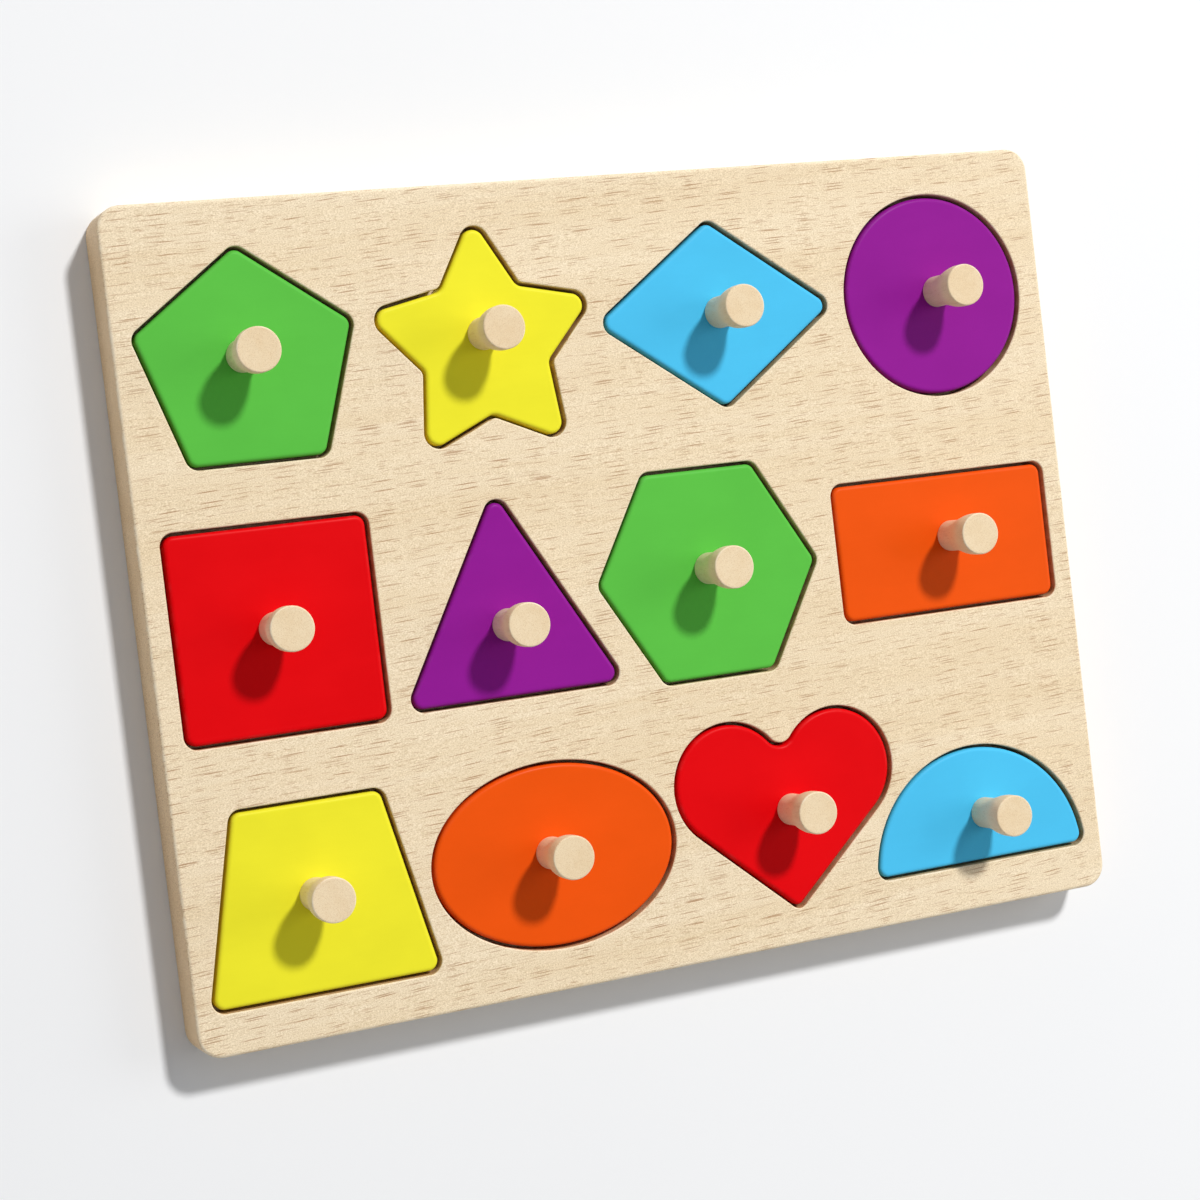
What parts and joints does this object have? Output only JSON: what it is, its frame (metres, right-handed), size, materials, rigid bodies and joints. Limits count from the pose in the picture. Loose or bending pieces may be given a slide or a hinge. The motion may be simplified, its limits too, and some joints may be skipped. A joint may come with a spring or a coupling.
{
  "type": "wooden shape puzzle",
  "caption": "Flat beech board with routed pockets that hold painted geometric blocks, each lifted straight out by a turned wooden peg on its middle.",
  "frame": {"origin": "middle of the board's flat back, on the surface it lies on", "axes": "+X along the board's long side, +Y towards its upper edge, +Z out of its face, the way the blocks lift"},
  "size_m": [0.2998, 0.238, 0.0335],
  "materials": {
    "beech_board": "sanded beech under a thin matt varnish",
    "beech_peg": "turned pale beech, bare or thinly varnished",
    "paint_green": "satin water-based paint on wood",
    "paint_yellow": "satin water-based paint on wood",
    "paint_blue": "satin water-based paint on wood",
    "paint_purple": "satin water-based paint on wood",
    "paint_red": "satin water-based paint on wood",
    "paint_orange": "satin water-based paint on wood"
  },
  "bodies": {
    "board": {"board": "beech_board"},
    "pentagon_piece": {"pentagon_block": "paint_green", "pentagon_peg": "beech_peg"},
    "star_piece": {"star_block": "paint_yellow", "star_peg": "beech_peg"},
    "rhombus_piece": {"rhombus_block": "paint_blue", "rhombus_peg": "beech_peg"},
    "circle_piece": {"circle_block": "paint_purple", "circle_peg": "beech_peg"},
    "square_piece": {"square_block": "paint_red", "square_peg": "beech_peg"},
    "triangle_piece": {"triangle_block": "paint_purple", "triangle_peg": "beech_peg"},
    "hexagon_piece": {"hexagon_block": "paint_green", "hexagon_peg": "beech_peg"},
    "rectangle_piece": {"rectangle_block": "paint_orange", "rectangle_peg": "beech_peg"},
    "trapezoid_piece": {"trapezoid_block": "paint_yellow", "trapezoid_peg": "beech_peg"},
    "oval_piece": {"oval_block": "paint_orange", "oval_peg": "beech_peg"},
    "heart_piece": {"heart_block": "paint_red", "heart_peg": "beech_peg"},
    "semicircle_piece": {"semicircle_block": "paint_blue", "semicircle_peg": "beech_peg"}
  },
  "joints": [
    {"name": "pentagon_lift", "type": "slide", "parent": "board", "child": "pentagon_piece", "axis": [0, 0, 1], "range_m": [0, 0.04]},
    {"name": "star_lift", "type": "slide", "parent": "board", "child": "star_piece", "axis": [0, 0, 1], "range_m": [0, 0.04]},
    {"name": "rhombus_lift", "type": "slide", "parent": "board", "child": "rhombus_piece", "axis": [0, 0, 1], "range_m": [0, 0.04]},
    {"name": "circle_lift", "type": "slide", "parent": "board", "child": "circle_piece", "axis": [0, 0, 1], "range_m": [0, 0.04]},
    {"name": "square_lift", "type": "slide", "parent": "board", "child": "square_piece", "axis": [0, 0, 1], "range_m": [0, 0.04]},
    {"name": "triangle_lift", "type": "slide", "parent": "board", "child": "triangle_piece", "axis": [0, 0, 1], "range_m": [0, 0.04]},
    {"name": "hexagon_lift", "type": "slide", "parent": "board", "child": "hexagon_piece", "axis": [0, 0, 1], "range_m": [0, 0.04]},
    {"name": "rectangle_lift", "type": "slide", "parent": "board", "child": "rectangle_piece", "axis": [0, 0, 1], "range_m": [0, 0.04]},
    {"name": "trapezoid_lift", "type": "slide", "parent": "board", "child": "trapezoid_piece", "axis": [0, 0, 1], "range_m": [0, 0.04]},
    {"name": "oval_lift", "type": "slide", "parent": "board", "child": "oval_piece", "axis": [0, 0, 1], "range_m": [0, 0.04]},
    {"name": "heart_lift", "type": "slide", "parent": "board", "child": "heart_piece", "axis": [0, 0, 1], "range_m": [0, 0.04]},
    {"name": "semicircle_lift", "type": "slide", "parent": "board", "child": "semicircle_piece", "axis": [0, 0, 1], "range_m": [0, 0.04]}
  ]
}
